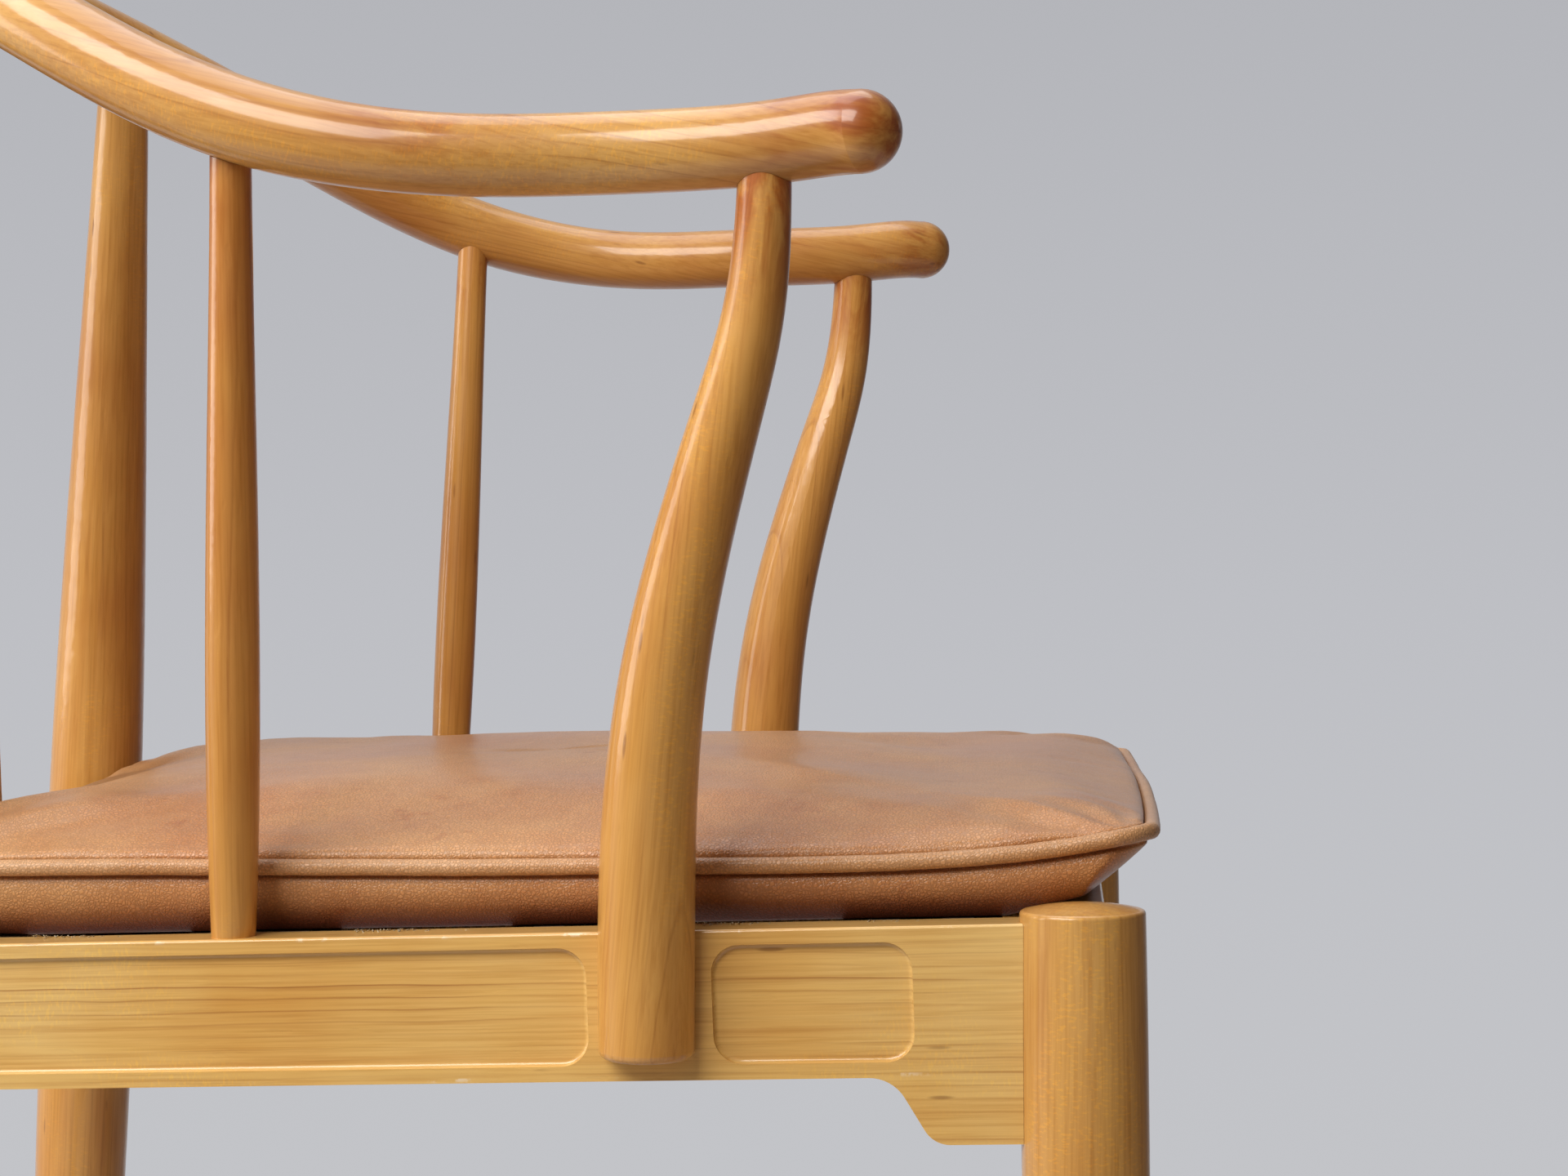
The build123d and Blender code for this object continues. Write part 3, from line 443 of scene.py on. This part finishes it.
def seam_level(x, y):
    """The seam sags in the middle of each side and lifts at its corners, least at the front left."""
    back = max(0.0, y - SEAM_LOWEST) / 0.304
    fore = max(0.0, SEAM_LOWEST - y) / 0.093
    lift = REAR_LIFT * back ** 1.3 + FRONT_LIFT * fore ** 2.5 * (1 - 0.75 * smooth(x / 0.12))
    corner = (abs(x) / FRONT_HALF) ** 3
    return SEAM_HEIGHT + lift * (0.35 + 0.65 * clamp(corner))


def half_width(y):
    """Half the cushion's width at a place down the seat."""
    return FRONT_HALF + (REAR_HALF - FRONT_HALF) * (y - FRONT) / (REAR - FRONT)


def foot_level(x, y):
    """The boxing's foot sags just inside the side rails, and stands off them at the four corners."""
    fore = 0.0075 * (max(0.0, 0.024 - y) / 0.030) ** 1.3
    back = 0.0035 * smooth((y - 0.375) / 0.06)
    corner = clamp((abs(x) / half_width(y)) ** 4)
    inside = smooth((half_width(y) - RAIL_LAP - abs(x)) / 0.003)
    sag = 0.0016 * inside * smooth((y - 0.016) / 0.01) * smooth((0.41 - y) / 0.01)
    return 0.0005 + (fore + back) * corner - sag


def top_level(x, y, inset):
    """A tight roll behind the piping, rounder along the front edge, then a nearly flat top."""
    seam = seam_level(x, y)
    fore = smooth(1.5 - (y - FRONT - inset) / 0.016)
    corner = smooth(1 - math.hypot(FRONT_HALF - abs(x), y - FRONT) / 0.055)
    reach = ROLL_REACH + (FRONT_ROLL_REACH - ROLL_REACH) * fore
    crown = CROWN - FRONT_DROP * smooth((0.25 - y) / 0.24) - 0.004 * corner
    rise = (ROLL_RISE + (FRONT_ROLL_RISE - ROLL_RISE) * fore) * (1 - 0.6 * corner)
    rise = min(rise, crown - seam)
    step, start = TOP_START
    along = clamp((inset - start) / reach)
    roll = step + (rise - step) * math.sqrt(1 - (1 - along) ** 2)
    return seam + roll + (crown - seam - rise) * (1 - math.exp(-max(0.0, inset - 0.006) / CROWN_REACH))


def bowed(point):
    """The front edge bulges forward a little between its corners."""
    share = smooth((0.10 - point.y) / 0.12)
    bow = FRONT_BOW * share * (1 - min(1.0, (point.x / FRONT_HALF) ** 2))
    return Vector((point.x, point.y - bow, *point[2:]))


def outline(inset, arc_steps=ARC_STEPS, side_steps=SIDE_STEPS):
    """Points round the cushion's rounded trapezoid, evenly numbered on every level."""
    corners = [(-FRONT_HALF + inset, FRONT + inset, FRONT_CORNER),
               (FRONT_HALF - inset, FRONT + inset, FRONT_CORNER),
               (REAR_HALF - inset, REAR - inset, REAR_CORNER),
               (-REAR_HALF + inset, REAR - inset, REAR_CORNER)]
    arcs = []
    for index, (x, y, radius) in enumerate(corners):
        here = Vector((x, y))
        before = (Vector(corners[index - 1][:2]) - here).normalized()
        after = (Vector(corners[(index + 1) % 4][:2]) - here).normalized()
        half = before.angle(after) / 2
        centre = here + (before + after).normalized() * (radius / math.sin(half))
        start = here + before * (radius / math.tan(half)) - centre
        end = here + after * (radius / math.tan(half)) - centre
        sweep = start.angle(end)
        arc = []
        for part in range(arc_steps + 1):
            turn = sweep * part / arc_steps
            arc.append(centre + (start * math.sin(sweep - turn) + end * math.sin(turn)) / math.sin(sweep))
        arcs.append(arc)
    points = []
    for index, arc in enumerate(arcs):
        following = arcs[(index + 1) % 4][0]
        points += arc
        points += [arc[-1].lerp(following, part / side_steps) for part in range(1, side_steps)]
    return points


def seam_line(arc_steps=ARC_STEPS, side_steps=SIDE_STEPS):
    return [bowed(Vector((p.x, p.y, seam_level(p.x, p.y)))) for p in outline(0.0, arc_steps, side_steps)]


# Where down the seat the spindles stand, and the dent that each makes with the bulges beside it.
SPINDLE_PLACE = (SEAT.inverted() @ Vector((0.2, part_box("spindle_right")[0].y + 0.008, 0.43))).y
DENT_REACH = 0.017
DENT = 0.0013
BULGE = 0.0008


def pressed(point):
    """The spindles dent the cushion's sides, which bulge a little on either side of them."""
    away = (point.y - SPINDLE_PLACE) / DENT_REACH
    dent = DENT * math.exp(-away * away) - BULGE * math.exp(-((abs(away) - 2.4) ** 2))
    share = smooth((abs(point.x) - 0.15) / 0.04)
    return Vector((point.x - math.copysign(dent * share, point.x), point.y, point.z))


# The boxing from foot to shoulder: how far in it lies at each share of its height.
BOXING = [(0.0, 0.0150), (0.0, 0.0100), (0.06, 0.0072), (0.18, 0.0046), (0.36, 0.0025), (0.56, 0.0011),
          (0.76, 0.0003), (0.92, 0.0003), (1.0, 0.0010)]
# How far under the seam the shoulder lies, and how far back the front boxing's foot is tucked.
SHOULDER = 0.0040
FRONT_TUCK = 0.018
# The groove that holds the piping: heights from the seam, and how far in.
GROOVE = [(-0.0031, 0.0026), (-0.0022, 0.0044), (0.0010, 0.0044)]
# The top's first ring: how far above the seam and how far in it lies.
TOP_START = (0.0024, 0.0022)
TOP_INSETS = [0.0022, 0.0026, 0.0036, 0.0055, 0.0085, 0.0125, 0.0175, 0.024, 0.032, 0.044, 0.060, 0.080]
UNDER_INSETS = [0.075, 0.045, 0.025]
INNER_SHARES = [0.8, 0.6, 0.4, 0.2]
# How flat the top is sewn before it swells, and how far the swelling may move it.
SLACK = 0.0040
SWELL_CAP = 0.005


def pillow_shell():
    """The sewn cushion before it swells: a closed shell of rings, with a groove for the piping."""
    rings = []
    vertices = []

    def lay(inset, level, tuck=0.0):
        """Lay one ring; along the front edge it lies tuck metres further back."""
        points = outline(inset)
        rings.append(range(len(vertices), len(vertices) + len(points)))
        for point in points:
            y = point.y + tuck * smooth(1 - (point.y - FRONT) / 0.03)
            vertices.append(bowed(Vector((point.x, y, level(point.x, y)))))

    def up_boxing(share):
        return lambda x, y: foot_level(x, y) + (seam_level(x, y) - SHOULDER - foot_level(x, y)) * share

    for inset in UNDER_INSETS:
        lay(inset, foot_level)
    for share, inset in BOXING:
        lay(inset, up_boxing(share), FRONT_TUCK * (1 - share))
    for rise, inset in GROOVE:
        lay(inset, lambda x, y: seam_level(x, y) + rise)
    for inset in TOP_INSETS:
        lay(inset, lambda x, y: top_level(x, y, inset) - SLACK * smooth(inset / 0.035))
    faces = []
    count = len(rings[0])
    for low, high in zip(rings, rings[1:]):
        faces += [(low[i], low[(i + 1) % count], high[(i + 1) % count], high[i]) for i in range(count)]
    middle = Vector((0, (FRONT + REAR) / 2, 0))
    for ring, turned in ((rings[0], True), (rings[-1], False)):
        outer = [vertices[i].copy() for i in ring]
        inner = ring
        peak = foot_level(0, middle.y) if turned else CROWN - SLACK
        for share in INNER_SHARES:
            fresh = range(len(vertices), len(vertices) + count)
            for point in outer:
                flat = middle.lerp(point, share)
                vertices.append(Vector((flat.x, flat.y, peak + (point.z - peak) * share ** 3)))
            for i in range(count):
                face = (inner[i], inner[(i + 1) % count], fresh[(i + 1) % count], fresh[i])
                faces.append(face[::-1] if turned else face)
            inner = fresh
        vertices.append(Vector((0, middle.y, peak)))
        last = len(vertices) - 1
        for i in range(count):
            face = (inner[i], inner[(i + 1) % count], last)
            faces.append(face[::-1] if turned else face)
    return to_mesh("cushion_cover_leather", vertices, faces)


def apply_modifier(obj, name):
    with bpy.context.temp_override(object=obj, active_object=obj):
        bpy.ops.object.modifier_apply(modifier=name)


def finder(points):
    found = kdtree.KDTree(len(points))
    for index, point in enumerate(points):
        found.insert(point, index)
    found.balance()
    return found


def blown_up(shell, seam, cap):
    """Remesh a copy of the shell and blow it up with cloth, held at its seam and where it rests.

    Gives where its points lay and how far each one moved, cap at most.
    """
    puffed = shell.copy()
    puffed.data = shell.data.copy()
    bpy.context.scene.collection.objects.link(puffed)
    bpy.context.view_layer.objects.active = puffed
    remesh = puffed.modifiers.new("even", "REMESH")
    remesh.mode = "VOXEL"
    remesh.voxel_size = 0.005
    apply_modifier(puffed, remesh.name)
    rest = [v.co.copy() for v in puffed.data.vertices]
    held = puffed.vertex_groups.new(name="held")
    for vertex in puffed.data.vertices:
        share = clamp(1 - seam.find(vertex.co)[2] / 0.010)
        if vertex.co.z < 0.008:
            share = max(share, clamp((0.008 - vertex.co.z) / 0.005))
        if share > 0:
            held.add([vertex.index], share, "REPLACE")
    cloth = puffed.modifiers.new("cloth", "CLOTH")
    settings = cloth.settings
    settings.use_pressure = True
    settings.uniform_pressure_force = 4.0
    settings.effector_weights.gravity = 0.0
    settings.tension_stiffness = 20.0
    settings.compression_stiffness = 20.0
    settings.shear_stiffness = 8.0
    settings.bending_stiffness = 3.0
    settings.mass = 0.35
    settings.quality = 6
    settings.vertex_group_mass = "held"
    cloth.point_cache.frame_start = 1
    cloth.point_cache.frame_end = 20
    scene = bpy.context.scene
    for number in range(1, 21):
        scene.frame_set(number)
    apply_modifier(puffed, cloth.name)
    scene.frame_set(1)
    moves = []
    for vertex, start in zip(puffed.data.vertices, rest):
        move = vertex.co - start
        moves.append(move * min(1.0, cap / max(move.length, 1e-9)))
    bpy.data.objects.remove(puffed)
    return rest, moves


def swell(shell, seam):
    """Carry the swelling over to the sewn shell, which keeps its seam and groove."""
    rest, moves = blown_up(shell, seam, SWELL_CAP)
    near = finder(rest)
    for vertex in shell.data.vertices:
        total, weight = Vector(), 0.0
        for _, index, distance in near.find_n(vertex.co, 5):
            share = 1 / (distance + 0.0005)
            total += moves[index] * share
            weight += share
        vertex.co += total / weight * smooth(seam.find(vertex.co)[2] / 0.012)


# Where sitters have pressed the filling: place across and down the seat, reach and depth.
DIMPLES = [(-0.115, 0.345, 0.045, 0.0026), (0.02, 0.215, 0.075, 0.0020), (0.075, 0.075, 0.045, 0.0030),
           (-0.05, 0.085, 0.050, 0.0018), (0.09, 0.300, 0.060, 0.0018), (-0.09, 0.195, 0.060, 0.0014)]
# Folds that the corner seams draw into the hide: how many round a corner, how far out, how deep.
FOLDS = 13
FOLD_REACH = 0.075
FOLD_DEPTH = 0.0005


def settle(obj, seam):
    """Dimples where people sat, slack in the boxing, and folds drawn to the corners."""
    corners = [Vector((x, y)) for x, y in ((-FRONT_HALF, FRONT), (FRONT_HALF, FRONT),
                                           (REAR_HALF, REAR), (-REAR_HALF, REAR))]
    for vertex in obj.data.vertices:
        point = vertex.co
        line, _, distance = seam.find(point)
        if point.z > line.z + 0.006:
            sink = 0.0
            for across, down, reach, depth in DIMPLES:
                away = ((point.x - across) ** 2 + (point.y - down) ** 2) / reach ** 2
                sink += depth * math.exp(-away * 2.2)
            wave = noise.noise(Vector((point.x * 11, point.y * 9, 3.1))) * 0.0009
            wave += noise.noise(Vector((point.x * 34, point.y * 26, 8.4))) * 0.0004
            point.z -= (sink - wave) * smooth(distance / 0.03)
        elif point.z < line.z - 0.005:
            slack = smooth((line.z - 0.005 - point.z) / 0.006) * smooth((point.z + 0.002) / 0.006)
            bulge = noise.noise(Vector((point.x * 16, point.y * 16, 1.7))) * 0.0009 * slack
            point.x += math.copysign(bulge, point.x)
        nearest = min(corners, key=lambda c: (point.xy - c).length_squared)
        reach = (point.xy - nearest).length
        if reach < FOLD_REACH and point.z > line.z + 0.003:
            bearing = math.atan2(point.y - nearest.y, abs(point.x) - abs(nearest.x))
            fold = math.sin(bearing * FOLDS + 1.3 * math.sin(reach * 130)) * FOLD_DEPTH
            point.z += fold * smooth((reach - 0.008) / 0.014) * smooth((FOLD_REACH - reach) / 0.05)
        vertex.co = pressed(point)


def build_cushion(hide, welt):
    seam = finder(seam_line())
    cushion = pillow_shell()
    swell(cushion, seam)
    finer = cushion.modifiers.new("finer", "SUBSURF")
    finer.levels = finer.render_levels = 1
    finer.use_limit_surface = False
    apply_modifier(cushion, finer.name)
    settle(cushion, seam)
    for polygon in cushion.data.polygons:
        polygon.use_smooth = True
    cushion.data.transform(SEAT)
    paint(cushion, hide)
    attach(cushion, "cushion")
    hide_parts("cushion_cover", "cushion_core")
    build_piping(welt)


# The piping's two ends lap over each other in the middle of the rear side, one tucked under.
LAP = 6
PIPING_SIDES = 16


def build_piping(welt):
    """The piping sewn into the seam: a cord in a strip of hide, puckered by its stitches."""
    ring = seam_line(24, 110)
    count = len(ring)
    start = min(range(count), key=lambda i: (ring[i].xy - Vector((0, REAR))).length)
    route = ring[start:] + ring[:start + LAP]
    vertices = []
    for index, point in enumerate(route):
        place = (start + index) % count
        along = (ring[(place + 1) % count] - ring[place - 1]).normalized()
        out = Vector((along.y, -along.x, 0)).normalized()
        rise = out.cross(along).normalized()
        rise = rise if rise.z > 0 else -rise
        wave = noise.noise(Vector((point.x * 14, point.y * 14, 0.3))) * 0.0004
        tucked = smooth((index - (len(route) - LAP - 3)) / LAP)
        radius = PIPING * (1 - 0.25 * tucked)
        if index < 3:
            radius *= (0.55, 0.85, 0.97)[index]
        centre = pressed(point) + out * (0.0004 - 0.0026 * tucked) + rise * (wave - 0.0010 * tucked)
        for side in range(PIPING_SIDES):
            angle = 2 * math.pi * side / PIPING_SIDES
            sideways, upward = math.cos(angle), math.sin(angle)
            pucker = noise.noise(Vector((index * 0.9, sideways * 0.6, upward * 0.6))) * 0.00012
            reach = radius + pucker
            vertices.append(centre + out * (sideways * reach) + rise * (upward * reach))
    faces = []
    for index in range(len(route) - 1):
        here, there = index * PIPING_SIDES, (index + 1) * PIPING_SIDES
        for side in range(PIPING_SIDES):
            up = (side + 1) % PIPING_SIDES
            faces.append((here + side, there + side, there + up, here + up))
    last = (len(route) - 1) * PIPING_SIDES
    faces.append(tuple(range(PIPING_SIDES)))
    faces.append(tuple(last + side for side in reversed(range(PIPING_SIDES))))
    piping = to_mesh("cushion_piping_welt", vertices, faces)
    lengthwise = piping.data.uv_layers.new(name="lengthwise")
    spacing = sum((ring[i] - ring[i - 1]).length for i in range(count)) / count
    for loop in piping.data.loops:
        station, side = divmod(loop.vertex_index, PIPING_SIDES)
        girth = math.cos(2 * math.pi * side / PIPING_SIDES) * PIPING
        lengthwise.data[loop.index].uv = (station * spacing, girth)
    piping.data.transform(SEAT)
    paint(piping, welt)
    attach(piping, "cushion")
    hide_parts("cushion_piping")


# ---------------------------------------------------------------- webbing

FRAY_LENGTH = 0.0065
FRAY_PER_STRAP = 46
FIBRE = 0.00022
STRAP_WIDTH = 0.056


def fray_webbing(surface):
    """Loose threads where each crosswise strap was cut off on the side rails."""
    dice = random.Random(7)
    straps = [v.co.copy() for v in nodes["webbing_crosswise"].data.vertices]
    ends = {}
    for point in straps:
        ends.setdefault(round(point.y / 0.119), []).append(point)
    vertices, faces = [], []
    for strap in ends.values():
        for hand in (-1, 1):
            tip = max(strap, key=lambda p: p.x * hand)
            edge = [p for p in strap if abs(p.x - tip.x) < 0.006]
            middle_y = (min(p.y for p in edge) + max(p.y for p in edge)) / 2
            top = max(p.z for p in edge)
            for number in range(FRAY_PER_STRAP):
                y = middle_y + (number / (FRAY_PER_STRAP - 1) - 0.5) * STRAP_WIDTH
                root = Vector((tip.x - hand * 0.001, y, top - 0.0006))
                reach = FRAY_LENGTH * dice.uniform(0.25, 1.0)
                lean = dice.uniform(-0.4, 0.4) * reach
                end = root + Vector((hand * reach, lean, dice.uniform(-0.05, 0.22) * reach))
                bend = root.lerp(end, 0.5) + Vector((0, dice.uniform(-0.0004, 0.0004), 0.0004))
                first = len(vertices)
                for station in (root, bend, end):
                    for side in range(3):
                        angle = math.tau * side / 3
                        girth = Vector((0, math.cos(angle) * FIBRE, math.sin(angle) * FIBRE))
                        vertices.append(station + girth)
                for level in (0, 3):
                    for side in range(3):
                        up = (side + 1) % 3
                        here = first + level
                        faces.append((here + side, here + up, here + 3 + up, here + 3 + side))
                faces.append((first, first + 2, first + 1))
                faces.append((first + 6, first + 7, first + 8))
    fray = to_mesh("webbing_frayed_ends", vertices, faces)
    paint(fray, surface)
    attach(fray, "frame")


# ---------------------------------------------------------------- studio

def softbox(name, place, target, size, power, colour):
    lamp = bpy.data.lights.new(name, "AREA")
    lamp.shape = "RECTANGLE"
    lamp.size, lamp.size_y = size
    lamp.energy = power
    lamp.color = srgb(colour)[:3]
    box = bpy.data.objects.new(name, lamp)
    bpy.context.scene.collection.objects.link(box)
    box.location = place
    box.rotation_euler = (Vector(target) - Vector(place)).to_track_quat("-Z", "Y").to_euler()


def build_studio():
    """Pale floor that fades into the backdrop; a large soft key above the chair's rear right."""
    rim = [(1.25 * math.cos(math.tau * i / 96), 1.25 * math.sin(math.tau * i / 96), 0) for i in range(96)]
    floor = to_mesh("studio_floor", rim, [tuple(range(96))], False)
    surface, tree, shader = material("studio_floor_paper", Roughness=0.8, Specular_IOR_Level=0.2)
    place = add(tree, "TexCoord").outputs["Object"]
    distance = add(tree, "VectorMath", {0: place}, operation="LENGTH").outputs["Value"]
    shade = ramp(tree, cloud(tree, place, 3.3, 2.0), [(0.3, srgb("#c9cacd")), (0.7, srgb("#cfd0d3"))])
    tree.links.new(shade, shader.inputs["Base Color"])
    tree.links.new(stretch(tree, distance, 0.7, 1.22, 1.0, 0.0), shader.inputs["Alpha"])
    paint(floor, surface)

    world = bpy.data.worlds.new("studio")
    bpy.context.scene.world = world
    world.use_nodes = True
    tree = world.node_tree
    ambient = tree.nodes["Background"]
    ambient.inputs["Color"].default_value = srgb("#ecd2c2")
    ambient.inputs["Strength"].default_value = 0.18
    rays = add(tree, "LightPath")
    facing = add(tree, "SeparateXYZ", {0: add(tree, "TexCoord").outputs["Generated"]})
    backdrop = ramp(tree, stretch(tree, facing.outputs[2], -0.25, 0.25), [
        (0.0, srgb("#c3c4c8")), (0.4, srgb("#bebfc4")), (0.75, srgb("#b8b9be")), (1.0, srgb("#b2b3b8"))])
    seen = add(tree, "Background", {"Color": backdrop, "Strength": 1.0})
    # The lacquer mirrors the backdrop, but a dark curtain stands in front of the chair and to its right.
    curtain = sum_up(tree, "MULTIPLY", stretch(tree, facing.outputs[1], -0.75, 0.05, 0.10, 1.0),
                     stretch(tree, facing.outputs[0], -0.7, 0.1, 0.2, 1.0))
    mirrored = add(tree, "Background", {"Color": backdrop, "Strength": curtain})
    glossy = add(tree, "MixShader", {
        0: rays.outputs["Is Glossy Ray"], 1: ambient.outputs[0], 2: mirrored.outputs[0]})
    shown = sum_up(tree, "MAXIMUM", rays.outputs["Is Camera Ray"], rays.outputs["Is Transmission Ray"])
    both = add(tree, "MixShader", {0: shown, 1: glossy.outputs[0], 2: seen.outputs[0]})
    tree.links.new(both.outputs[0], tree.nodes["World Output"].inputs["Surface"])

    softbox("key_light", (-1.52, 1.06, 2.0), (0, 0, 0.5), (1.9, 1.2), 61, "#fffaf3")
    softbox("side_light", (-0.25, 2.2, 0.95), (0, 0, 0.5), (1.2, 1.3), 18, "#fff9f0")
    softbox("top_light", (0.3, 0.2, 2.3), (0, 0, 0.5), (1.6, 1.2), 12, "#f6f8ff")


def build_camera():
    """From the sitter's right, level with the arm, close enough to show how the seat is made."""
    lens = bpy.data.cameras.new("camera")
    lens.sensor_width = 36.0
    lens.lens = 73.125
    camera = bpy.data.objects.new("camera", lens)
    bpy.context.scene.collection.objects.link(camera)
    yaw, pitch = math.radians(4.689), math.radians(1.704)
    aim = Vector((math.cos(pitch) * math.cos(yaw), math.cos(pitch) * math.sin(yaw), -math.sin(pitch)))
    camera.location = (-1.310, -0.2336, 0.5677)
    camera.rotation_euler = aim.to_track_quat("-Z", "Y").to_euler()
    bpy.context.scene.camera = camera


build_camera()
build_studio()
bpy.context.scene.view_settings.view_transform = "Standard"
dress_wood()
build_cushion(leather("natural_tan_leather", "#dca670", "#c98b58", 0.34),
              leather("natural_tan_leather_piping", "#e2b180", "#cf9763", 0.38))
webbing = jute("jute_webbing", "#8d7352", "#6f5a40", 2.2)
for name in ("webbing_crosswise", "webbing_lengthwise"):
    paint(nodes[name], webbing)
fray_webbing(jute("frayed_jute", "#d8cbb2", "#c2b190", 2.2))
steel = zinc_plate("zinc_plated_steel")
for name in ("arm_post_screws", "webbing_staples"):
    paint(nodes[name], steel)
paint(nodes["foot_glides"], moulded_glide("moulded_glide_nylon"))
